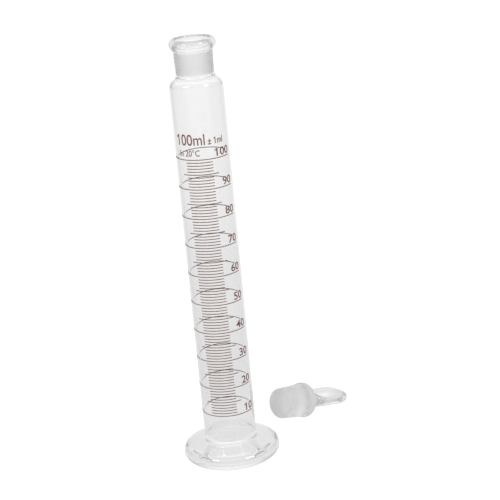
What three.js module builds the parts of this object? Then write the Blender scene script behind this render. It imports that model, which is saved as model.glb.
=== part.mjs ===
// A 100 ml stoppered graduated cylinder in clear glass, with its ground-glass stopper lying beside it.
// Millimetres, +Z up. The origin is the centre of the foot's underside, and the scale faces -Y.
import * as THREE from 'three';

// Foot: a pressed disc with a round edge.
const FOOT_RADIUS = 27.85;
const FOOT_EDGE_RADIUS = 4.4;
const FOOT_EDGE_HEIGHT = 9.0;
const FOOT_TOP_HEIGHT = 10.0;
const FOOT_FILLET_RADIUS = 0.6;
const FOOT_FILLET_LAND = 0.4;       // flat left at the top of the fillet, so that it has no feather edge

// Barrel: a drawn tube, closed at the bottom and drawn in at the shoulder.
const BARREL_RADIUS = 15.0;
const BORE_RADIUS = 13.74;
const FLOOR_HEIGHT = 12.05;
const FLOOR_CORNER_RADIUS = 5.0;
const BARREL_HEEL_RADIUS = 2.5;
const SHOULDER_HEIGHT = 219.3;
const SHOULDER_RADIUS = 6.0;
const SHOULDER_FILLET = 0.7;

// Neck: a ground socket with a 1:10 taper and a rolled rim.
const NECK_FOOT_HEIGHT = 226.6;
const NECK_FOOT_RADIUS = 10.5;
const NECK_TOP_RADIUS = 10.85;
const TAPER = 0.05;                 // radius lost for each millimetre down, which is a 1:10 taper
const SOCKET_MOUTH_HEIGHT = 243.0;
const SOCKET_MOUTH_RADIUS = 9.85;
const RIM_CENTRE_RADIUS = 9.3;
const RIM_CENTRE_HEIGHT = 242.85;
const RIM_SECTION_RADIUS = 3.6;
const RIM_FILLET = 0.6;
const LIP_RADIUS = 1.0;

// Stopper: a ground plug that fits the socket, a bulging shoulder above it, and a flat tab to hold.
const PLUG_END_RADIUS = 9.1;
const PLUG_END_ROUNDING = 1.5;
const PLUG_GROUND_LENGTH = 17.5;
const BULGE_RADIUS = 10.7;
const BULGE_DISTANCE = 19.9;
const BULGE_ROUNDING = 1.2;
const BULGE_CHAMFER = 0.25;
const STOPPER_NECK_RADIUS = 5.4;
const STOPPER_NECK_DISTANCE = 24.3;
const STOPPER_LENGTH = 54.0;
const TAB_HALF_WIDTH = 10.0;
const TAB_HALF_THICKNESS = 4.3;
const TAB_FLATTENING_LENGTH = 6.0;
const TAB_ROOT_OVERHANG = 1.5;      // the tab's outline starts this far inside the plug
const TAB_OUTLINE_ROUNDNESS = 3.5;  // exponent of the superellipse seen from above
const TAB_SECTION_ROUNDNESS = 2.7;  // exponent of the superellipse across the tab
const TAB_TIP_START = 0.55;         // share of the outline's half length where the tip starts to thin
const TAB_TIP_THINNING = 0.55;
const TAB_TIP_GAP = 0.05;           // the last section stops this far short of the tip

// Where the stopper lies: its bulge beside the foot, its tab drooping onto the bench.
const STOPPER_X = 37.3;
const STOPPER_Y = 49.95;
const STOPPER_YAW = THREE.MathUtils.degToRad(50.7);
const STOPPER_DROOP = THREE.MathUtils.degToRad(13.0);

// Scale: enamel rings at every 10 ml, open at the reader's right, and shorter lines at every odd 5 ml.
// Angles are measured round the barrel from the front, to the reader's left and right.
const SCALE_END_ML = 100;
const RING_STEP_ML = 10;
const LINE_HEIGHT = 0.4;
const ENAMEL_THICKNESS = 0.2;
const RING_LEFT_ANGLE = THREE.MathUtils.degToRad(234);
const RING_RIGHT_ANGLE = THREE.MathUtils.degToRad(74);
const RING_STEPS = 42;
const FIVE_LINE_LEFT_ANGLE = THREE.MathUtils.degToRad(38.7);
const FIVE_LINE_RIGHT_ANGLE = THREE.MathUtils.degToRad(41);
const FIVE_LINE_STEPS = 8;

const GAP = 0.3;                    // between glass pieces that are fused on the real object
const ENAMEL_GAP = 0.1;
const ROUND_SEGMENTS = 48;

const glass = new THREE.MeshStandardMaterial({
  color: 0xe6ecea, roughness: 0.05, metalness: 0, transparent: true, opacity: 0.35,
});
const groundGlass = new THREE.MeshStandardMaterial({
  color: 0xdadddc, roughness: 0.6, metalness: 0, transparent: true, opacity: 0.7,
});
const enamel = new THREE.MeshStandardMaterial({ color: 0x7a4538, roughness: 0.5, metalness: 0 });

// Points along an arc in the radius-height plane, from one angle to another in degrees.
function arc(centreRadius, centreHeight, radius, from, to, steps) {
  return Array.from({ length: steps + 1 }, (_, i) => {
    const angle = THREE.MathUtils.degToRad(from + (to - from) * i / steps);
    return [centreRadius + radius * Math.cos(angle), centreHeight + radius * Math.sin(angle)];
  });
}

// A turned solid about Z, from a profile of [radius, height] points.
function turned(profile, segments = ROUND_SEGMENTS) {
  const points = profile.map(([radius, height]) => new THREE.Vector2(radius, height));
  return new THREE.LatheGeometry(points, segments).rotateX(Math.PI / 2);
}

function named(name, geometry, material) {
  const mesh = new THREE.Mesh(geometry, material.clone());
  mesh.name = name;
  return mesh;
}

function foot() {
  const edgeCentre = FOOT_RADIUS - FOOT_EDGE_RADIUS;
  const seatRadius = BARREL_RADIUS + GAP;
  const filletCentre = seatRadius + FOOT_FILLET_RADIUS + FOOT_FILLET_LAND;
  return turned([
    [0, 0],
    ...arc(edgeCentre, FOOT_EDGE_RADIUS, FOOT_EDGE_RADIUS, -90, 0, 5),
    ...arc(edgeCentre, FOOT_EDGE_HEIGHT - FOOT_EDGE_RADIUS, FOOT_EDGE_RADIUS, 8, 84, 5),
    ...arc(filletCentre, FOOT_TOP_HEIGHT + FOOT_FILLET_RADIUS, FOOT_FILLET_RADIUS, 270, 195, 4),
    [seatRadius, FOOT_TOP_HEIGHT + FOOT_FILLET_RADIUS],
    [seatRadius, FOOT_TOP_HEIGHT],
    [0, FOOT_TOP_HEIGHT],
  ]);
}

function barrel() {
  const shoulderCentre = BARREL_RADIUS - SHOULDER_RADIUS;
  const wall = BARREL_RADIUS - BORE_RADIUS;
  const top = NECK_FOOT_HEIGHT - GAP;
  const socketEndRadius = SOCKET_MOUTH_RADIUS - TAPER * (SOCKET_MOUTH_HEIGHT - top);
  return turned([
    [0, FOOT_TOP_HEIGHT + GAP],
    ...arc(BARREL_RADIUS - BARREL_HEEL_RADIUS, FOOT_TOP_HEIGHT + GAP + BARREL_HEEL_RADIUS,
      BARREL_HEEL_RADIUS, -90, 0, 4),
    ...arc(shoulderCentre, SHOULDER_HEIGHT, SHOULDER_RADIUS, 0, 70, 7),
    [NECK_FOOT_RADIUS, top - SHOULDER_FILLET],
    [NECK_FOOT_RADIUS, top],
    [socketEndRadius, top],
    ...arc(shoulderCentre, SHOULDER_HEIGHT, SHOULDER_RADIUS - wall, 82, 0, 6),
    ...arc(BORE_RADIUS - FLOOR_CORNER_RADIUS, FLOOR_HEIGHT + FLOOR_CORNER_RADIUS,
      FLOOR_CORNER_RADIUS, 0, -90, 4),
    [0, FLOOR_HEIGHT],
  ]);
}

function socketNeck() {
  const socketFootRadius = SOCKET_MOUTH_RADIUS - TAPER * (SOCKET_MOUTH_HEIGHT - NECK_FOOT_HEIGHT);
  const lipCentreRadius = SOCKET_MOUTH_RADIUS + LIP_RADIUS;
  const lipReach = RIM_SECTION_RADIUS - LIP_RADIUS;
  const lipRise = Math.sqrt(lipReach ** 2 - (lipCentreRadius - RIM_CENTRE_RADIUS) ** 2);
  return turned([
    [NECK_FOOT_RADIUS, NECK_FOOT_HEIGHT],
    [NECK_TOP_RADIUS, RIM_CENTRE_HEIGHT - RIM_SECTION_RADIUS - RIM_FILLET],
    ...arc(RIM_CENTRE_RADIUS, RIM_CENTRE_HEIGHT, RIM_SECTION_RADIUS, -60, 50, 9),
    ...arc(lipCentreRadius, RIM_CENTRE_HEIGHT + lipRise, LIP_RADIUS, 66, 180, 5),
    [SOCKET_MOUTH_RADIUS, SOCKET_MOUTH_HEIGHT],
    [socketFootRadius, NECK_FOOT_HEIGHT],
    [NECK_FOOT_RADIUS, NECK_FOOT_HEIGHT],
  ]);
}

// The height at which the barrel holds a volume, from its bore and the glass in its round floor corner.
function levelOf(millilitres) {
  const cornerSection = FLOOR_CORNER_RADIUS ** 2 * (1 - Math.PI / 4);
  const cornerInset = FLOOR_CORNER_RADIUS * (10 - 3 * Math.PI) / (12 - 3 * Math.PI);
  const cornerVolume = cornerSection * 2 * Math.PI * (BORE_RADIUS - cornerInset);
  const boreArea = Math.PI * BORE_RADIUS ** 2;
  const cubicMillimetres = millilitres * 1000;
  return FLOOR_HEIGHT + (cubicMillimetres + cornerVolume) / boreArea;
}

// A line at a volume's level, from one angle left of the front to another right of it.
function scaleLine(millilitres, leftAngle, rightAngle, curveSegments) {
  const inner = BARREL_RADIUS + ENAMEL_GAP;
  const front = -Math.PI / 2;
  const outline = new THREE.Shape();
  outline.absarc(0, 0, inner + ENAMEL_THICKNESS, front - leftAngle, front + rightAngle, false);
  outline.absarc(0, 0, inner, front + rightAngle, front - leftAngle, true);
  const options = { depth: LINE_HEIGHT, bevelEnabled: false, curveSegments };
  const line = new THREE.ExtrudeGeometry(outline, options);
  return line.translate(0, 0, levelOf(millilitres) - LINE_HEIGHT / 2);
}

// The stopper's own frame has its axis along +Z, from the small end of the plug to the tip of the tab.
function plug() {
  const groundEnd = PLUG_END_RADIUS + TAPER * PLUG_GROUND_LENGTH;
  const waistDepth = BULGE_RADIUS - STOPPER_NECK_RADIUS;
  const waistLength = STOPPER_NECK_DISTANCE - BULGE_DISTANCE;
  const bulgeToNeck = [0, 15, 30, 45, 60, 75, 90].map((degrees) => {
    const angle = THREE.MathUtils.degToRad(degrees);
    const radius = STOPPER_NECK_RADIUS + waistDepth * Math.cos(angle);
    return [radius, BULGE_DISTANCE + waistLength * Math.sin(angle)];
  });
  return turned([
    [0, 0],
    ...arc(PLUG_END_RADIUS - PLUG_END_ROUNDING, PLUG_END_ROUNDING, PLUG_END_ROUNDING, -90, 0, 4),
    [groundEnd, PLUG_GROUND_LENGTH],
    [BULGE_RADIUS - BULGE_CHAMFER, BULGE_DISTANCE - BULGE_ROUNDING],
    ...bulgeToNeck,
    [0, STOPPER_NECK_DISTANCE],
  ]);
}

// A closed solid through a row of rings of points, each ring running the same way round +Z.
function lofted(rings) {
  const sides = rings[0].length;
  const positions = rings.flat().flatMap((point) => [point.x, point.y, point.z]);
  const index = [];
  for (let ring = 0; ring < rings.length - 1; ring++) {
    for (let side = 0; side < sides; side++) {
      const next = (side + 1) % sides;
      const [a, b] = [ring * sides + side, ring * sides + next];
      index.push(a, b, b + sides, a, b + sides, a + sides);
    }
  }
  const last = (rings.length - 1) * sides;
  for (let side = 1; side < sides - 1; side++) {
    index.push(0, side + 1, side, last, last + side, last + side + 1);
  }
  const geometry = new THREE.BufferGeometry();
  geometry.setAttribute('position', new THREE.Float32BufferAttribute(positions, 3));
  geometry.setIndex(index);
  return geometry;
}

// The tab grows out of the round neck of the stopper, flattens, and ends in a rounded tip.
function tab() {
  const root = STOPPER_NECK_DISTANCE + GAP;
  const outlineStart = root - TAB_ROOT_OVERHANG;
  const sections = 14;
  const sides = 28;
  const power = (value, exponent) => Math.sign(value) * Math.abs(value) ** exponent;
  const rings = [];
  for (let section = 0; section <= sections; section++) {
    const along = 1 - (1 - section / sections) ** 1.6;   // sections crowd together towards the tip
    const distance = root + (STOPPER_LENGTH - TAB_TIP_GAP - root) * along;
    const across = 2 * (distance - outlineStart) / (STOPPER_LENGTH - outlineStart) - 1;
    const outline = (1 - Math.abs(across) ** TAB_OUTLINE_ROUNDNESS) ** (1 / TAB_OUTLINE_ROUNDNESS);
    const halfWidth = TAB_HALF_WIDTH * outline;
    const flattening = THREE.MathUtils.smoothstep(distance, root, root + TAB_FLATTENING_LENGTH);
    const thinning = TAB_TIP_THINNING * THREE.MathUtils.smoothstep(across, TAB_TIP_START, 1);
    const body = THREE.MathUtils.lerp(STOPPER_NECK_RADIUS, TAB_HALF_THICKNESS, flattening);
    const halfThickness = body * Math.sqrt(1 - thinning);
    const exponent = 2 / THREE.MathUtils.lerp(2, TAB_SECTION_ROUNDNESS, flattening);
    rings.push(Array.from({ length: sides }, (_, side) => {
      const angle = 2 * Math.PI * side / sides;
      return new THREE.Vector3(halfWidth * power(Math.cos(angle), exponent),
        halfThickness * power(Math.sin(angle), exponent), distance);
    }));
  }
  return lofted(rings);
}

// The stopper lies on the bench: its axis is tipped over and turned, and its lowest point is at height 0.
function lyingStopper() {
  const axis = new THREE.Vector3(
    Math.cos(STOPPER_YAW) * Math.cos(STOPPER_DROOP),
    Math.sin(STOPPER_YAW) * Math.cos(STOPPER_DROOP),
    -Math.sin(STOPPER_DROOP),
  );
  const sideways = new THREE.Vector3(-Math.sin(STOPPER_YAW), Math.cos(STOPPER_YAW), 0);
  const faceUp = new THREE.Vector3().crossVectors(axis, sideways);
  const stopper = new THREE.Group();
  stopper.add(named('stopper_plug', plug(), groundGlass), named('stopper_tab', tab(), glass));
  stopper.quaternion.setFromRotationMatrix(new THREE.Matrix4().makeBasis(sideways, faceUp, axis));
  stopper.position.set(STOPPER_X, STOPPER_Y, 0).addScaledVector(axis, -BULGE_DISTANCE);
  stopper.updateMatrixWorld(true);
  stopper.position.z -= new THREE.Box3().setFromObject(stopper, true).min.z;
  return stopper;
}

const cylinder = new THREE.Group();
cylinder.add(
  named('foot', foot(), glass),
  named('barrel', barrel(), glass),
  named('socket_neck', socketNeck(), groundGlass),
);
for (let level = RING_STEP_ML; level <= SCALE_END_ML; level += RING_STEP_ML) {
  const ring = scaleLine(level, RING_LEFT_ANGLE, RING_RIGHT_ANGLE, RING_STEPS);
  cylinder.add(named(`ring_${level}_ml`, ring, enamel));
}
for (let level = 1.5 * RING_STEP_ML; level < SCALE_END_ML; level += RING_STEP_ML) {
  const line = scaleLine(level, FIVE_LINE_LEFT_ANGLE, FIVE_LINE_RIGHT_ANGLE, FIVE_LINE_STEPS);
  cylinder.add(named(`line_${level}_ml`, line, enamel));
}

const object = new THREE.Group();
object.add(cylinder, lyingStopper());

export default object;
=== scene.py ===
"""Looks of a 100 ml stoppered graduated cylinder: clear glass, a ground joint and fired enamel print."""
import math

import bmesh
import bpy
from mathutils import Matrix, Vector


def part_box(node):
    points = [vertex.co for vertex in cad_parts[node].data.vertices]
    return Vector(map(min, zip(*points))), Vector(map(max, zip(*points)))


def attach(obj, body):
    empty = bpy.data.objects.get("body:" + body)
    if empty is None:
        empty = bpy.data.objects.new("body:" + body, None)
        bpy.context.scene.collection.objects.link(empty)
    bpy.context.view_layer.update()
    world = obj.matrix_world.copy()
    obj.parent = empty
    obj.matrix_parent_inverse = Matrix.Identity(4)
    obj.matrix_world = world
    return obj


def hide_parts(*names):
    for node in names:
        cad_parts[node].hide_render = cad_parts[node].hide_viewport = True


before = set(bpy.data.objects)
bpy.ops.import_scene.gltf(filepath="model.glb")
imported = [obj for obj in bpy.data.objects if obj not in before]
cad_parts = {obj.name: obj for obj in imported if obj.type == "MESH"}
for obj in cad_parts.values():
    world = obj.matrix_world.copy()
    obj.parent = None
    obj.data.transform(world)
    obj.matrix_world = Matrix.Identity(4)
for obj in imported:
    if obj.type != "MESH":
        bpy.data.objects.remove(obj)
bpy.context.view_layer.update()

MM = 0.001

# ---------------------------------------------------------------- sizes, in millimetres

FOOT_RADIUS = 27.85
FOOT_EDGE_RADIUS = 4.4
FOOT_EDGE_HEIGHT = 9.0
FOOT_EDGE_END = 84.0           # degrees, where the round edge gives way to the foot's top
FOOT_TOP_HEIGHT = 10.0
FOOT_TOP_MARGIN = 0.6          # the gentle slope of the foot's top starts this far in from its round edge
FOOT_FILLET_RADIUS = 0.6

BARREL_RADIUS = 15.0
BORE_RADIUS = 13.74
FLOOR_HEIGHT = 12.05
FLOOR_CORNER_RADIUS = 5.0
SHOULDER_HEIGHT = 219.3
SHOULDER_RADIUS = 6.0
SHOULDER_INNER_END = 73.0      # degrees, where the shoulder's inner round meets the socket's end
SHOULDER_FILLET_RADIUS = 2.0

NECK_FOOT_RADIUS = 10.5
NECK_TOP_RADIUS = 10.85
RIM_CENTRE = (9.3, 242.85)
RIM_SECTION_RADIUS = 3.6
RIM_FILLET_RADIUS = 2.0
LIP_RADIUS = 1.0
SOCKET_MOUTH_RADIUS = 9.85
SOCKET_MOUTH_HEIGHT = 243.0
SOCKET_END_HEIGHT = 226.2
SOCKET_END_ROUNDING = 1.2
SOCKET_END_TURN = 262.0        # degrees, where that rounding ends
TAPER = 0.05                   # radius lost for each millimetre down, which is a 1:10 taper
GROUND_TOP_HEIGHT = 238.8      # the socket is ground up to here, and clear above

PLUG_END_RADIUS = 9.1
PLUG_END_ROUNDING = 1.5
PLUG_GROUND_LENGTH = 17.5
BULGE_RADIUS = 10.7
BULGE_DISTANCE = 19.9
BULGE_TURN = 80.0              # degrees of an ellipse's quarter, from the bulge down to the stopper's neck
STOPPER_NECK_RADIUS = 5.4
STOPPER_NECK_DISTANCE = 24.3
STOPPER_LENGTH = 54.0
TAB_HALF_WIDTH = 10.0
TAB_HALF_THICKNESS = 4.3
TAB_FLATTENING_LENGTH = 6.0
TAB_ROOT_OVERHANG = 1.2        # the tab's outline starts this far inside the stopper's neck
TAB_OUTLINE_ROUNDNESS = 3.5    # exponent of the superellipse seen from above
TAB_SECTION_ROUNDNESS = 2.7    # exponent of the superellipse across the tab
TAB_TIP_START = 0.55           # share of the outline's half length where the tip starts to thin
TAB_TIP_THINNING = 0.55
TAB_TIP_THICKNESS = 0.25       # share of the thickness that is left at the very tip
TAB_TIP_GAP = 0.01             # the last section stops this far short of the tip
TAB_TIP_CROWDING = 1.8         # the sections lie closer together towards the tip
STOPPER_SPOT = (37.3, 49.95)
STOPPER_YAW = math.radians(50.7)
STOPPER_DROOP = math.radians(13.0)

PRINT_GAP = 0.03
PRINT_THICKNESS = 0.06
LINE_HEIGHT = 0.48
# The section of a line, in shares of its height and of the print's thickness.
LINE_SECTION = ((-0.5, 0), (-0.4, 0.8), (-0.2, 1), (0.2, 1), (0.4, 0.8), (0.5, 0))
RING_ANGLES = (-234.0, 74.0)
FIVE_LINE_ANGLES = (-38.7, 41.0)
SHORT_LINE_ANGLES = (-29.0, 29.0)

NUMERAL_SIZE = 6.3
NUMERAL_STRETCH = 1.12
NUMERAL_END_ANGLE = 74.0
NUMERAL_RISE = 1.1             # from a ring's middle up to its numeral's baseline
LIGHT_WEIGHT = 0.006           # widening of each stroke's edges, as a share of the lettering's size
BOLD_WEIGHT = 0.012
TEXT_STRIP = 0.5               # lettering is cut into strips this wide, to bend round the barrel
# The flag of a figure 1, in shares of the lettering's size.
FLAG_ROOT = 0.06
FLAG_REACH = 0.2
FLAG_DROP = 0.13
FLAG_STROKE = 0.11
# Name, text, size, stretch, height of the baseline, angle of the left end in degrees, weight.
MARKS = (
    ("enamel_capacity", "100ml", 8.9, 0.81, 189.6, -49.5, LIGHT_WEIGHT),
    ("enamel_tolerance", "\u00b1 1ml", 5.3, 0.78, 189.6, 22.0, BOLD_WEIGHT),
    ("enamel_temperature", "In 20\u00b0C", 4.9, 0.85, 183.5, -44.5, LIGHT_WEIGHT),
)

ROUND_SIDES = 144
STOPPER_SIDES = 96

# ---------------------------------------------------------------- glass, camera and light

GLASS_TINT = (0.977, 0.977, 0.977)
GLASS_IOR = 1.48
GROUND_TINT = (0.93, 0.93, 0.93)
ENAMEL_DARK = (0.14, 0.055, 0.038)
ENAMEL_LIGHT = (0.2, 0.08, 0.057)

# Places in metres. Azimuths are degrees round the object from its front, towards the reader's right.
CAMERA_AZIMUTH = 10.0
CAMERA_DISTANCE = 0.8408
CAMERA_HEIGHT = 0.3866
CAMERA_HEADING = -8.568
CAMERA_PITCH = 17.405
CAMERA_ROLL = -5.254
CAMERA_LENS = 112.4            # millimetres

SOFTBOX_AZIMUTHS = {"softbox_left": CAMERA_AZIMUTH - 51, "softbox_right": CAMERA_AZIMUTH + 48}
SOFTBOX_ELEVATION = 39.0
SOFTBOX_DISTANCE = 1.3
SOFTBOX_SIZE = 0.42
SOFTBOX_POWER = 0.32           # watts
SOFTBOX_SPREAD = 36.0
SOFTBOX_TARGET_HEIGHT = 0.2

FLOOR_HALF_SIZE = 1.6
FLOOR_GAP = 0.0002             # keeps the floor just clear of the foot's underside
FLOOR_ALBEDO = 0.1             # the floor's brightness is nearly all its own, so it shows hardly any shadow
FLOOR_WHITE = 1.0
ROOM_WHITE = 1.05

# The floor glows, and the greys that the glass shows of it are painted shade, standing in for how the room
# would light it: its grey varies with distance from the foot and darkens towards its sides. The room's greys
# are its light. Both are even white to the camera. The floor's distance shade has stops of (distance, grey),
# and ROOM_SHADES of (rise of the direction, grey). The floor's side shade and CARD_SHADES in the room dim
# the sides, with stops of (degrees from the backdrop's middle, share). CARD_TOP fades the cards out upwards.
BACKDROP_AZIMUTH = 7.0
FLOOR_PAINTED_SHADES = ((0.0, 0.74), (0.1, 0.7), (0.3, 0.75), (0.6, 0.83), (0.9, 0.86))
SIDE_PAINTED_SHADES = ((0, 1.0), (8, 1.0), (24, 0.91), (50, 0.66), (110, 0.66), (135, 1.0), (180, 1.0))
SIDE_START = 0.12              # the floor's angles are taken round a point this far towards the camera
ROOM_SHADES = ((0.0, 1.03), (0.15, 1.0), (0.42, 0.82), (0.73, 0.75), (1.0, 0.95))
CARD_SHADES = ((0, 1.0), (10, 1.0), (45, 0.42), (110, 0.42), (135, 1.0), (180, 1.0))
CARD_TOP = ((0.0, 0.0), (0.34, 0.0), (0.5, 1.0), (1.0, 1.0))
LIGHT_BOUNCES = 512            # fewer leave black patches in the foot


# ---------------------------------------------------------------- shapes

def arc(centre, radius, start, end, steps):
    """Points [radius from the axis, height] along an arc, from one angle to another in degrees."""
    angles = [math.radians(start + (end - start) * i / steps) for i in range(steps + 1)]
    return [(centre[0] + radius * math.cos(a), centre[1] + radius * math.sin(a)) for a in angles]


def straight(start, end, margin=0.5, steps=6):
    """Points along a line, with one close to each end so that the rounds there don't bend its shading."""
    length = math.dist(start, end)
    near = min(margin / length, 0.3)
    shares = [near + (1 - 2 * near) * i / steps for i in range(steps + 1)]
    return [tuple(a + (b - a) * s for a, b in zip(start, end)) for s in shares]


def new_object(name, vertices, faces, smooth=True):
    mesh = bpy.data.meshes.new(name)
    mesh.from_pydata(vertices, [], faces)
    mesh.validate()
    mesh.polygons.foreach_set("use_smooth", [smooth] * len(mesh.polygons))
    obj = bpy.data.objects.new(name, mesh)
    bpy.context.scene.collection.objects.link(obj)
    return obj


def skin(name, rings, low_point, high_point):
    """A closed mesh through rings of points with the same count, closed by a point below and one above."""
    sides = len(rings[0])
    vertices = [v for ring in rings for v in ring] + [low_point, high_point]
    faces = []
    for r in range(len(rings) - 1):
        for s in range(sides):
            a, b = r * sides + s, r * sides + (s + 1) % sides
            faces.append((a, b, b + sides, a + sides))
    low, high, last = len(vertices) - 2, len(vertices) - 1, (len(rings) - 1) * sides
    for s in range(sides):
        after = (s + 1) % sides
        faces.append((low, after, s))
        faces.append((high, last + s, last + after))
    return new_object(name, vertices, faces)


def touching(centre, radius, reach, side):
    """The centre of a round that touches another, and the angle in degrees at which they touch.

    centre is the other round's, radius is how far the new centre is from the axis, reach is the distance
    between the two centres, and side is 1 for a new centre above the other, or -1 for one below.
    """
    across = radius - centre[0]
    rise = math.sqrt(reach**2 - across**2)
    return (centre[0] + across, centre[1] + side * rise), math.degrees(math.acos(across / reach))


def socket_point(height):
    """A point of the tapered socket's wall, narrower with depth."""
    return (SOCKET_MOUTH_RADIUS - TAPER * (SOCKET_MOUTH_HEIGHT - height), height)


def cylinder_profile():
    """The glass's section, from the middle of the underside, up the outside and down to the inner floor."""
    edge = FOOT_RADIUS - FOOT_EDGE_RADIUS
    upper_edge = (edge, FOOT_EDGE_HEIGHT - FOOT_EDGE_RADIUS)
    foot_fillet = (BARREL_RADIUS + FOOT_FILLET_RADIUS, FOOT_TOP_HEIGHT + FOOT_FILLET_RADIUS)
    foot_top = [(edge + FOOT_TOP_MARGIN, FOOT_EDGE_HEIGHT), (foot_fillet[0], FOOT_TOP_HEIGHT)]

    shoulder = (BARREL_RADIUS - SHOULDER_RADIUS, SHOULDER_HEIGHT)
    shoulder_fillet, shoulder_turn = touching(
        shoulder, NECK_FOOT_RADIUS + SHOULDER_FILLET_RADIUS, SHOULDER_RADIUS + SHOULDER_FILLET_RADIUS, 1)
    rim_fillet, rim_turn = touching(
        RIM_CENTRE, NECK_TOP_RADIUS + RIM_FILLET_RADIUS, RIM_SECTION_RADIUS + RIM_FILLET_RADIUS, -1)
    lip, lip_turn = touching(
        RIM_CENTRE, SOCKET_MOUTH_RADIUS + LIP_RADIUS, RIM_SECTION_RADIUS - LIP_RADIUS, 1)

    socket_mouth = (SOCKET_MOUTH_RADIUS, SOCKET_MOUTH_HEIGHT)
    ground_top = socket_point(GROUND_TOP_HEIGHT)
    socket_end = socket_point(SOCKET_END_HEIGHT)
    socket_turn = (socket_end[0] + SOCKET_END_ROUNDING, SOCKET_END_HEIGHT - SOCKET_END_ROUNDING / 2)
    wall = BARREL_RADIUS - BORE_RADIUS
    corner = (BORE_RADIUS - FLOOR_CORNER_RADIUS, FLOOR_HEIGHT + FLOOR_CORNER_RADIUS)

    return [
        *straight((0, 0), (edge, 0), 1.0, 5),
        *arc((edge, FOOT_EDGE_RADIUS), FOOT_EDGE_RADIUS, -90, 0, 14),
        *arc(upper_edge, FOOT_EDGE_RADIUS, 0, FOOT_EDGE_END, 14),
        *straight(*foot_top, 0.5, 4),
        *arc(foot_fillet, FOOT_FILLET_RADIUS, -90, -180, 10),
        *straight((BARREL_RADIUS, foot_fillet[1]), (BARREL_RADIUS, SHOULDER_HEIGHT), 0.5, 12),
        *arc(shoulder, SHOULDER_RADIUS, 0, shoulder_turn, 14),
        *arc(shoulder_fillet, SHOULDER_FILLET_RADIUS, shoulder_turn - 180, -180, 7)[1:],
        *straight((NECK_FOOT_RADIUS, shoulder_fillet[1]), (NECK_TOP_RADIUS, rim_fillet[1]), 0.4, 4),
        *arc(rim_fillet, RIM_FILLET_RADIUS, 180, 180 - rim_turn, 5),
        *arc(RIM_CENTRE, RIM_SECTION_RADIUS, -rim_turn, lip_turn, 18)[1:],
        *arc(lip, LIP_RADIUS, lip_turn, 180, 8)[1:],
        *straight(socket_mouth, ground_top, 0.4, 3),
        ground_top,
        *straight(ground_top, socket_end, 0.4, 6),
        *arc(socket_turn, SOCKET_END_ROUNDING, 180, SOCKET_END_TURN, 7),
        *arc(shoulder, SHOULDER_RADIUS - wall, SHOULDER_INNER_END, 0, 12),
        *straight((BORE_RADIUS, SHOULDER_HEIGHT), (BORE_RADIUS, corner[1]), 0.5, 12),
        *arc(corner, FLOOR_CORNER_RADIUS, 0, -90, 12),
        *straight((corner[0], FLOOR_HEIGHT), (0, FLOOR_HEIGHT), 0.6, 4)[:-1],
    ]


def turned(name, profile, sides):
    """A solid of revolution about Z from a profile that starts and ends near the axis."""
    angles = [2 * math.pi * s / sides for s in range(sides)]
    rings = [[(r * MM * math.cos(a), r * MM * math.sin(a), z * MM) for a in angles] for r, z in profile]
    return skin(name, rings, (0, 0, profile[0][1] * MM), (0, 0, profile[-1][1] * MM))


def smoothstep(value, low, high):
    share = min(1.0, max(0.0, (value - low) / (high - low)))
    return share * share * (3 - 2 * share)


def signed_power(value, exponent):
    return math.copysign(abs(value) ** exponent, value)


def stopper_sections():
    """(distance, half width, half thickness, roundness) of sections from the plug's end to the tab's tip."""
    end_centre = (PLUG_END_RADIUS - PLUG_END_ROUNDING, PLUG_END_ROUNDING)
    ground_end = (PLUG_END_RADIUS + TAPER * PLUG_GROUND_LENGTH, PLUG_GROUND_LENGTH)
    rounds = straight((0, 0), (end_centre[0], 0), 0.6, 3)
    rounds += arc(end_centre, PLUG_END_ROUNDING, -90, 0, 8)
    rounds += straight((PLUG_END_RADIUS + TAPER * PLUG_END_ROUNDING, PLUG_END_ROUNDING), ground_end, 0.4, 6)
    rise = BULGE_RADIUS - ground_end[0]
    bulge_steps = 8
    for step in range(1, bulge_steps + 1):
        share = step / bulge_steps
        rounds.append((ground_end[0] + rise * (1 - (1 - share) ** 2),
                       PLUG_GROUND_LENGTH + (BULGE_DISTANCE - PLUG_GROUND_LENGTH) * share))
    waist = BULGE_RADIUS - STOPPER_NECK_RADIUS
    waist_steps = 12
    for step in range(1, waist_steps + 1):
        angle = math.radians(BULGE_TURN * step / waist_steps)
        rounds.append((STOPPER_NECK_RADIUS + waist * math.cos(angle),
                       BULGE_DISTANCE + (STOPPER_NECK_DISTANCE - BULGE_DISTANCE) * math.sin(angle)))
    sections = [(z, r, r, 2.0) for r, z in rounds]

    start = STOPPER_NECK_DISTANCE - TAB_ROOT_OVERHANG
    flat_from = STOPPER_NECK_DISTANCE + TAB_FLATTENING_LENGTH
    tab_steps = 44
    for step in range(1, tab_steps + 1):
        along = 1 - (1 - step / tab_steps) ** TAB_TIP_CROWDING
        distance = STOPPER_NECK_DISTANCE + (STOPPER_LENGTH - TAB_TIP_GAP - STOPPER_NECK_DISTANCE) * along
        across = 2 * (distance - start) / (STOPPER_LENGTH - start) - 1
        outline = (1 - abs(across) ** TAB_OUTLINE_ROUNDNESS) ** (1 / TAB_OUTLINE_ROUNDNESS)
        half_width = TAB_HALF_WIDTH * outline
        flattening = smoothstep(distance, STOPPER_NECK_DISTANCE, flat_from)
        body = STOPPER_NECK_RADIUS + (TAB_HALF_THICKNESS - STOPPER_NECK_RADIUS) * flattening
        half_thickness = body * math.sqrt(1 - TAB_TIP_THINNING * smoothstep(across, TAB_TIP_START, 1))
        half_thickness *= min(1.0, TAB_TIP_THICKNESS + outline)
        roundness = 2 + (TAB_SECTION_ROUNDNESS - 2) * flattening
        sections.append((distance, half_width, half_thickness, roundness))
    return sections


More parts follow.
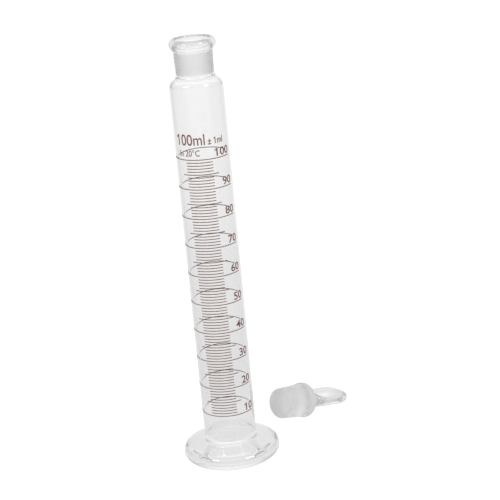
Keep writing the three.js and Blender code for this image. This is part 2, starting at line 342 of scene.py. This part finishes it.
def stopper_mesh(name, sections):
    """The stopper lying on the bench, tipped over and turned, with its lowest point where the CAD's is."""
    rings = []
    for distance, half_width, half_thickness, roundness in sections:
        ring = []
        for s in range(STOPPER_SIDES):
            angle = 2 * math.pi * s / STOPPER_SIDES
            ring.append((half_width * MM * signed_power(math.cos(angle), 2 / roundness),
                         half_thickness * MM * signed_power(math.sin(angle), 2 / roundness), distance * MM))
        rings.append(ring)
    obj = skin(name, rings, (0, 0, 0), (0, 0, STOPPER_LENGTH * MM))
    axis = Vector((math.cos(STOPPER_YAW) * math.cos(STOPPER_DROOP),
                   math.sin(STOPPER_YAW) * math.cos(STOPPER_DROOP), -math.sin(STOPPER_DROOP)))
    sideways = Vector((-math.sin(STOPPER_YAW), math.cos(STOPPER_YAW), 0))
    turn = Matrix((sideways, axis.cross(sideways), axis)).transposed().to_4x4()
    spot = Vector((STOPPER_SPOT[0] * MM, STOPPER_SPOT[1] * MM, 0)) - axis * BULGE_DISTANCE * MM
    obj.data.transform(Matrix.Translation(spot) @ turn)
    lowest = min(v.co.z for v in obj.data.vertices)
    rest = min(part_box(node)[0].z for node in ("stopper_plug", "stopper_tab"))
    obj.data.transform(Matrix.Translation((0, 0, rest - lowest)))
    return obj


# ---------------------------------------------------------------- enamel print

ring_low = sum(v.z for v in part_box("ring_10_ml")) / 2 / MM
ring_high = sum(v.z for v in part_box("ring_100_ml")) / 2 / MM


def level(millilitres):
    """Height of a volume's line, from the CAD rings at 10 and 100 ml."""
    return ring_low + (ring_high - ring_low) * (millilitres - 10) / 90


def on_barrel(across, height, depth):
    """A point of artwork bent round the barrel: across is the arc from the front, depth is outwards."""
    angle = across / BARREL_RADIUS
    radius = BARREL_RADIUS + PRINT_GAP + depth
    return (radius * MM * math.sin(angle), -radius * MM * math.cos(angle), height * MM)


def enamel_band(name, heights, angles, steps):
    """Thin raised lines at the given heights, from one angle to another in degrees, in one piece."""
    start, end = angles
    corners = len(LINE_SECTION)
    vertices, faces = [], []
    for height in heights:
        first = len(vertices)
        for i in range(steps + 1):
            across = math.radians(start + (end - start) * i / steps) * BARREL_RADIUS
            for rise, depth in LINE_SECTION:
                vertices.append(on_barrel(across, height + rise * LINE_HEIGHT, depth * PRINT_THICKNESS))
        for i in range(steps):
            a, b = first + i * corners, first + (i + 1) * corners
            for k in range(corners):
                after = (k + 1) % corners
                faces.append((a + k, b + k, b + after, a + after))
        last = first + steps * corners
        faces.append(tuple(first + k for k in range(corners)))
        faces.append(tuple(last + k for k in reversed(range(corners))))
    return new_object(name, vertices, faces)


def flat_text(text, size, weight):
    """A mesh of lettering as thick as the print, lying flat."""
    curve = bpy.data.curves.new("type", "FONT")
    curve.body = text
    curve.size = size
    curve.extrude = PRINT_THICKNESS / 2
    curve.resolution_u = 4
    curve.offset = weight * size
    source = bpy.data.objects.new("type", curve)
    bpy.context.scene.collection.objects.link(source)
    bpy.context.view_layer.update()
    mesh = bpy.data.meshes.new_from_object(source.evaluated_get(bpy.context.evaluated_depsgraph_get()))
    bpy.data.objects.remove(source)
    return mesh


def add_flag(shape, text, size, weight):
    """The short slanted stroke at the top of the first figure 1 in a text, which runs into its stem."""
    stem = flat_text(text[:text.index("1") + 1], size, weight)
    root = max(v.co.x for v in stem.vertices) - FLAG_ROOT * size
    top = max(v.co.y for v in stem.vertices)
    bpy.data.meshes.remove(stem)
    tip = root - FLAG_REACH * size
    low = top - FLAG_DROP * size
    stroke = FLAG_STROKE * size
    outline = ((root, top), (tip, low), (tip, low - stroke), (root, top - stroke))
    back = [shape.verts.new((x, y, -PRINT_THICKNESS / 2)) for x, y in outline]
    front = [shape.verts.new((x, y, PRINT_THICKNESS / 2)) for x, y in outline]
    shape.faces.new(back)
    shape.faces.new(front)
    for i in range(len(outline)):
        j = (i + 1) % len(outline)
        shape.faces.new((back[i], back[j], front[j], front[i]))


def enamel_text(name, text, size, stretch, base, left=None, right=None, weight=LIGHT_WEIGHT):
    """Lettering on the barrel above a base height, from a left angle or up to a right one, in degrees."""
    mesh = flat_text(text, size, weight)
    shape = bmesh.new()
    shape.from_mesh(mesh)
    if "1" in text:
        add_flag(shape, text, size, weight)
    bmesh.ops.remove_doubles(shape, verts=shape.verts, dist=1e-5)
    low = min(v.co.x for v in shape.verts)
    high = max(v.co.x for v in shape.verts)
    width = (high - low) * stretch
    for i in range(1, int(width / TEXT_STRIP) + 1):
        geometry = shape.verts[:] + shape.edges[:] + shape.faces[:]
        place = Vector((low + i * TEXT_STRIP / stretch, 0, 0))
        bmesh.ops.bisect_plane(shape, geom=geometry, plane_co=place, plane_no=Vector((1, 0, 0)), dist=1e-6)
    if left is None:
        start = math.radians(right) * BARREL_RADIUS - width
    else:
        start = math.radians(left) * BARREL_RADIUS
    for v in shape.verts:
        v.co = on_barrel(start + (v.co.x - low) * stretch, base + v.co.y, v.co.z + PRINT_THICKNESS / 2)
    bmesh.ops.recalc_face_normals(shape, faces=shape.faces)
    shape.to_mesh(mesh)
    shape.free()
    mesh.name = name
    obj = bpy.data.objects.new(name, mesh)
    bpy.context.scene.collection.objects.link(obj)
    return obj


# ---------------------------------------------------------------- materials

def new_material(name):
    material = bpy.data.materials.new(name)
    material.use_nodes = True
    nodes = material.node_tree.nodes
    return material, nodes, material.node_tree.links, nodes["Principled BSDF"]


def object_noise(nodes, links, scale, stretch=(1, 1, 1), detail=3.0):
    """Noise in the object's own coordinates, in metres, stretched along its axes."""
    place = nodes.new("ShaderNodeTexCoord")
    mapping = nodes.new("ShaderNodeMapping")
    mapping.inputs["Scale"].default_value = stretch
    noise = nodes.new("ShaderNodeTexNoise")
    noise.inputs["Scale"].default_value = scale
    noise.inputs["Detail"].default_value = detail
    links.new(place.outputs["Object"], mapping.inputs["Vector"])
    links.new(mapping.outputs["Vector"], noise.inputs["Vector"])
    return noise.outputs["Fac"]


def ranged(nodes, links, value, low, high):
    node = nodes.new("ShaderNodeMapRange")
    node.inputs["To Min"].default_value = low
    node.inputs["To Max"].default_value = high
    links.new(value, node.inputs["Value"])
    return node.outputs["Result"]


def bumped(nodes, links, shader, value, distance, strength=1.0):
    bump = nodes.new("ShaderNodeBump")
    bump.inputs["Distance"].default_value = distance
    bump.inputs["Strength"].default_value = strength
    links.new(value, bump.inputs["Height"])
    links.new(bump.outputs["Normal"], shader.inputs["Normal"])


def glass(name, roughness, wave_scale, wave_distance, wave_stretch=(1, 1, 1)):
    """Clear glass: its surface has slow waves from how it was made, and its roughness varies a little."""
    material, nodes, links, shader = new_material(name)
    shader.inputs["Base Color"].default_value = (*GLASS_TINT, 1)
    shader.inputs["Transmission Weight"].default_value = 1.0
    shader.inputs["IOR"].default_value = GLASS_IOR
    smudge = object_noise(nodes, links, 60)
    links.new(ranged(nodes, links, smudge, *roughness), shader.inputs["Roughness"])
    waves = object_noise(nodes, links, wave_scale, wave_stretch, 1.0)
    bumped(nodes, links, shader, waves, wave_distance)
    return material


def ground_glass(name, roughness):
    """Finely ground glass: a matt grain that scatters what passes through it."""
    material, nodes, links, shader = new_material(name)
    shader.inputs["Transmission Weight"].default_value = 1.0
    shader.inputs["IOR"].default_value = GLASS_IOR
    patches = object_noise(nodes, links, 220, (1, 1, 0.6))
    ramp = nodes.new("ShaderNodeValToRGB")
    ramp.color_ramp.elements[0].position = 0.3
    ramp.color_ramp.elements[0].color = (*[c * 0.96 for c in GROUND_TINT], 1)
    ramp.color_ramp.elements[1].position = 0.7
    ramp.color_ramp.elements[1].color = (*GROUND_TINT, 1)
    links.new(patches, ramp.inputs["Fac"])
    links.new(ramp.outputs["Color"], shader.inputs["Base Color"])
    links.new(ranged(nodes, links, patches, *roughness), shader.inputs["Roughness"])
    grain = object_noise(nodes, links, 5000, (1, 1, 1), 2.0)
    bumped(nodes, links, shader, grain, 0.00003)
    return material


def enamel(name):
    """Fired enamel: opaque red-brown, satin, slightly uneven where the print is thin."""
    material, nodes, links, shader = new_material(name)
    uneven = object_noise(nodes, links, 900)
    ramp = nodes.new("ShaderNodeValToRGB")
    ramp.color_ramp.elements[0].position = 0.35
    ramp.color_ramp.elements[0].color = (*ENAMEL_DARK, 1)
    ramp.color_ramp.elements[1].position = 0.65
    ramp.color_ramp.elements[1].color = (*ENAMEL_LIGHT, 1)
    links.new(uneven, ramp.inputs["Fac"])
    links.new(ramp.outputs["Color"], shader.inputs["Base Color"])
    links.new(ranged(nodes, links, uneven, 0.38, 0.55), shader.inputs["Roughness"])
    bumped(nodes, links, shader, object_noise(nodes, links, 3000), 0.00001)
    return material


def assign(obj, *materials):
    for material in materials:
        obj.data.materials.append(material)


# ---------------------------------------------------------------- camera

def photo_camera():
    """A long lens at the photograph's viewing angle: a little above, tipped to one side."""
    data = bpy.data.cameras.new("camera")
    data.sensor_width = 36.0
    data.lens = CAMERA_LENS
    data.clip_start, data.clip_end = 0.05, 20.0
    obj = bpy.data.objects.new("camera", data)
    bpy.context.scene.collection.objects.link(obj)
    azimuth, heading = math.radians(CAMERA_AZIMUTH), math.radians(CAMERA_HEADING)
    pitch, roll = math.radians(CAMERA_PITCH), math.radians(CAMERA_ROLL)
    forward = Vector((math.sin(heading) * math.cos(pitch),
                      math.cos(heading) * math.cos(pitch), -math.sin(pitch)))
    level_right = Vector((math.cos(heading), -math.sin(heading), 0))
    level_up = level_right.cross(forward)
    right = math.cos(roll) * level_right + math.sin(roll) * level_up
    up = -math.sin(roll) * level_right + math.cos(roll) * level_up
    turn = Matrix((right, up, -forward)).transposed().to_4x4()
    place = Vector((CAMERA_DISTANCE * math.sin(azimuth),
                    -CAMERA_DISTANCE * math.cos(azimuth), CAMERA_HEIGHT))
    obj.matrix_world = Matrix.Translation(place) @ turn
    bpy.context.scene.camera = obj


# ---------------------------------------------------------------- stage

def seen_by(nodes, links, direct, indirect):
    """One even grey where the camera sees it directly, and a shade for rays through or off the glass."""
    path = nodes.new("ShaderNodeLightPath")
    mix = nodes.new("ShaderNodeMix")
    mix.data_type = "RGBA"
    links.new(path.outputs["Is Camera Ray"], mix.inputs["Factor"])
    links.new(indirect, mix.inputs["A"])
    mix.inputs["B"].default_value = (direct, direct, direct, 1)
    return mix.outputs["Result"]


def math_node(nodes, links, operation, *values):
    node = nodes.new("ShaderNodeMath")
    node.operation = operation
    for socket, value in zip(node.inputs, values):
        if isinstance(value, (int, float)):
            socket.default_value = value
        else:
            links.new(value, socket)
    return node.outputs["Value"]


def shade_stops(nodes, links, value, stops):
    """A grey that runs smoothly through stops of (value, grey)."""
    low, high = stops[0][0], stops[-1][0]
    ramp = nodes.new("ShaderNodeValToRGB")
    ramp.color_ramp.interpolation = "EASE"
    elements = ramp.color_ramp.elements
    while len(elements) < len(stops):
        elements.new(1.0)
    for element, (place, grey) in zip(elements, stops):
        element.position = (place - low) / (high - low)
        element.color = (grey, grey, grey, 1)
    share = nodes.new("ShaderNodeMapRange")
    share.inputs["From Min"].default_value = low
    share.inputs["From Max"].default_value = high
    links.new(value, share.inputs["Value"])
    links.new(share.outputs["Result"], ramp.inputs["Fac"])
    return ramp.outputs["Color"]


def side_angle(nodes, links, vector):
    """The angle in degrees, seen from above, between a direction and the middle of the backdrop."""
    turn = nodes.new("ShaderNodeVectorRotate")
    turn.rotation_type = "Z_AXIS"
    turn.inputs["Angle"].default_value = -math.radians(BACKDROP_AZIMUTH)
    parts = nodes.new("ShaderNodeSeparateXYZ")
    links.new(vector, turn.inputs["Vector"])
    links.new(turn.outputs["Vector"], parts.inputs["Vector"])
    angle = math_node(nodes, links, "ARCTAN2", parts.outputs["X"], parts.outputs["Y"])
    return math_node(nodes, links, "MULTIPLY", math_node(nodes, links, "ABSOLUTE", angle), math.degrees(1))


def blended(nodes, links, blend, first, second):
    mix = nodes.new("ShaderNodeMix")
    mix.data_type = "RGBA"
    mix.blend_type = blend
    mix.inputs["Factor"].default_value = 1.0
    links.new(first, mix.inputs["A"])
    links.new(second, mix.inputs["B"])
    return mix.outputs["Result"]


def floor():
    """A floor that glows even white to the camera; to the glass it shows painted shade, by distance and
    darker at its sides.
    """
    size = FLOOR_HALF_SIZE
    corners = [(-size, -size, 0), (size, -size, 0), (size, size, 0), (-size, size, 0)]
    obj = new_object("floor", corners, [(0, 1, 2, 3)], smooth=False)
    obj.location.z = -FLOOR_GAP
    material, nodes, links, shader = new_material("floor_glow_painted_shade")
    shader.inputs["Base Color"].default_value = (FLOOR_ALBEDO, FLOOR_ALBEDO, FLOOR_ALBEDO, 1)
    shader.inputs["Roughness"].default_value = 0.9
    shader.inputs["Specular IOR Level"].default_value = 0.0
    place = nodes.new("ShaderNodeTexCoord").outputs["Object"]
    reach = nodes.new("ShaderNodeVectorMath")
    reach.operation = "LENGTH"
    links.new(place, reach.inputs[0])
    # painted shade: the glowing floor's grey by its distance from the foot
    painted_falloff = shade_stops(nodes, links, reach.outputs["Value"], FLOOR_PAINTED_SHADES)
    front = nodes.new("ShaderNodeVectorMath")
    front.operation = "SUBTRACT"
    azimuth = math.radians(CAMERA_AZIMUTH)
    front.inputs[1].default_value = (SIDE_START * math.sin(azimuth), -SIDE_START * math.cos(azimuth), 0)
    links.new(place, front.inputs[0])
    sides = shade_stops(nodes, links, side_angle(nodes, links, front.outputs["Vector"]), SIDE_PAINTED_SHADES)
    # the painted shade, by distance and darker at the sides, shows only through and off the glass
    seen = seen_by(nodes, links, FLOOR_WHITE, blended(nodes, links, "MULTIPLY", painted_falloff, sides))
    links.new(seen, shader.inputs["Emission Color"])
    shader.inputs["Emission Strength"].default_value = 1.0
    assign(obj, material)


def softbox(name, azimuth):
    """A gridded square lamp that faces the neck. It shows in reflections, but not through the glass."""
    data = bpy.data.lights.new(name, "AREA")
    data.shape = "SQUARE"
    data.size = SOFTBOX_SIZE
    data.energy = SOFTBOX_POWER
    data.spread = math.radians(SOFTBOX_SPREAD)
    obj = bpy.data.objects.new(name, data)
    obj.visible_transmission = False
    bpy.context.scene.collection.objects.link(obj)
    a, e = math.radians(azimuth), math.radians(SOFTBOX_ELEVATION)
    back = Vector((math.sin(a) * math.cos(e), -math.cos(a) * math.cos(e), math.sin(e)))
    obj.location = Vector((0, 0, SOFTBOX_TARGET_HEIGHT)) + back * SOFTBOX_DISTANCE
    obj.rotation_mode = "QUATERNION"
    obj.rotation_quaternion = back.to_track_quat("Z", "Y")


def surroundings():
    """A pale room with dim cards at both sides, and plain white where the camera sees it."""
    world = bpy.data.worlds.new("room")
    world.use_nodes = True
    nodes, links = world.node_tree.nodes, world.node_tree.links
    direction = nodes.new("ShaderNodeTexCoord").outputs["Generated"]
    parts = nodes.new("ShaderNodeSeparateXYZ")
    links.new(direction, parts.inputs["Vector"])
    upward = shade_stops(nodes, links, parts.outputs["Z"], ROOM_SHADES)
    cards = shade_stops(nodes, links, side_angle(nodes, links, direction), CARD_SHADES)
    above_cards = shade_stops(nodes, links, parts.outputs["Z"], CARD_TOP)
    sides = blended(nodes, links, "LIGHTEN", cards, above_cards)
    seen = seen_by(nodes, links, ROOM_WHITE, blended(nodes, links, "MULTIPLY", upward, sides))
    links.new(seen, nodes["Background"].inputs["Color"])
    bpy.context.scene.world = world


# ---------------------------------------------------------------- building

photo_camera()
floor()
surroundings()
for lamp, azimuth in SOFTBOX_AZIMUTHS.items():
    softbox(lamp, azimuth)
bpy.context.scene.view_settings.view_transform = "Standard"
bpy.context.scene.cycles.max_bounces = LIGHT_BOUNCES
bpy.context.scene.cycles.glossy_bounces = LIGHT_BOUNCES
bpy.context.scene.cycles.transmission_bounces = LIGHT_BOUNCES

clear = glass("clear_glass", (0.0, 0.02), wave_scale=30, wave_distance=0.00006, wave_stretch=(1, 1, 0.15))
pressed = glass("pressed_glass", (0.0, 0.03), wave_scale=70, wave_distance=0.0001)
soft = glass("soft_glass", (0.09, 0.14), wave_scale=70, wave_distance=0.00004)
tab_glass = glass("tab_glass", (0.1, 0.16), wave_scale=70, wave_distance=0.00004)
ground = ground_glass("ground_glass", (0.42, 0.52))
brown = enamel("fired_enamel")

cylinder_slots = (clear, pressed, ground, soft)
cylinder = turned("cylinder_glass", cylinder_profile(), ROUND_SIDES)
assign(cylinder, *cylinder_slots)
for face in cylinder.data.polygons:
    height = face.center.z / MM
    off_axis = math.hypot(face.center.x, face.center.y) / MM
    if SOCKET_END_HEIGHT < height < GROUND_TOP_HEIGHT and off_axis < SOCKET_MOUTH_RADIUS:
        face.material_index = cylinder_slots.index(ground)
    elif height < FOOT_TOP_HEIGHT + FOOT_FILLET_RADIUS and off_axis > BARREL_RADIUS:
        face.material_index = cylinder_slots.index(pressed)
    elif height > SOCKET_END_HEIGHT:
        face.material_index = cylinder_slots.index(soft)
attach(cylinder, "cylinder")
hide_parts("foot", "barrel", "socket_neck")

stopper_slots = (tab_glass, ground)
sections = stopper_sections()
stopper = stopper_mesh("stopper_glass", sections)
assign(stopper, *stopper_slots)
ground_faces = STOPPER_SIDES * (sum(1 for section in sections if section[0] <= STOPPER_NECK_DISTANCE) - 1)
# The faces of the two ends follow the bands between the sections, one of each end in turn.
end_faces = STOPPER_SIDES * (len(sections) - 1)
for index, face in enumerate(stopper.data.polygons):
    plug_end = index >= end_faces and (index - end_faces) % 2 == 0
    if index < ground_faces or plug_end:
        face.material_index = stopper_slots.index(ground)
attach(stopper, "stopper")
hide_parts("stopper_plug", "stopper_tab")


def print_piece(obj, *nodes):
    """A piece of the print, which rides on the cylinder and stands in for the CAD nodes named."""
    assign(obj, brown)
    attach(obj, "cylinder")
    if nodes:
        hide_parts(*nodes)


for millilitres in range(10, 101, 10):
    ring = enamel_band(f"enamel_ring_{millilitres}", [level(millilitres)], RING_ANGLES, 120)
    print_piece(ring, f"ring_{millilitres}_ml")
    numeral = enamel_text(f"enamel_numeral_{millilitres}", str(millilitres), NUMERAL_SIZE, NUMERAL_STRETCH,
                          level(millilitres) + NUMERAL_RISE, right=NUMERAL_END_ANGLE, weight=BOLD_WEIGHT)
    print_piece(numeral)
for millilitres in range(15, 100, 10):
    line = enamel_band(f"enamel_line_{millilitres}", [level(millilitres)], FIVE_LINE_ANGLES, 32)
    print_piece(line, f"line_{millilitres}_ml")
short_levels = [level(millilitres) for millilitres in range(11, 100) if millilitres % 5]
print_piece(enamel_band("enamel_short_lines", short_levels, SHORT_LINE_ANGLES, 24))
for name, text, size, stretch, base, left, weight in MARKS:
    print_piece(enamel_text(name, text, size, stretch, base, left=left, weight=weight))
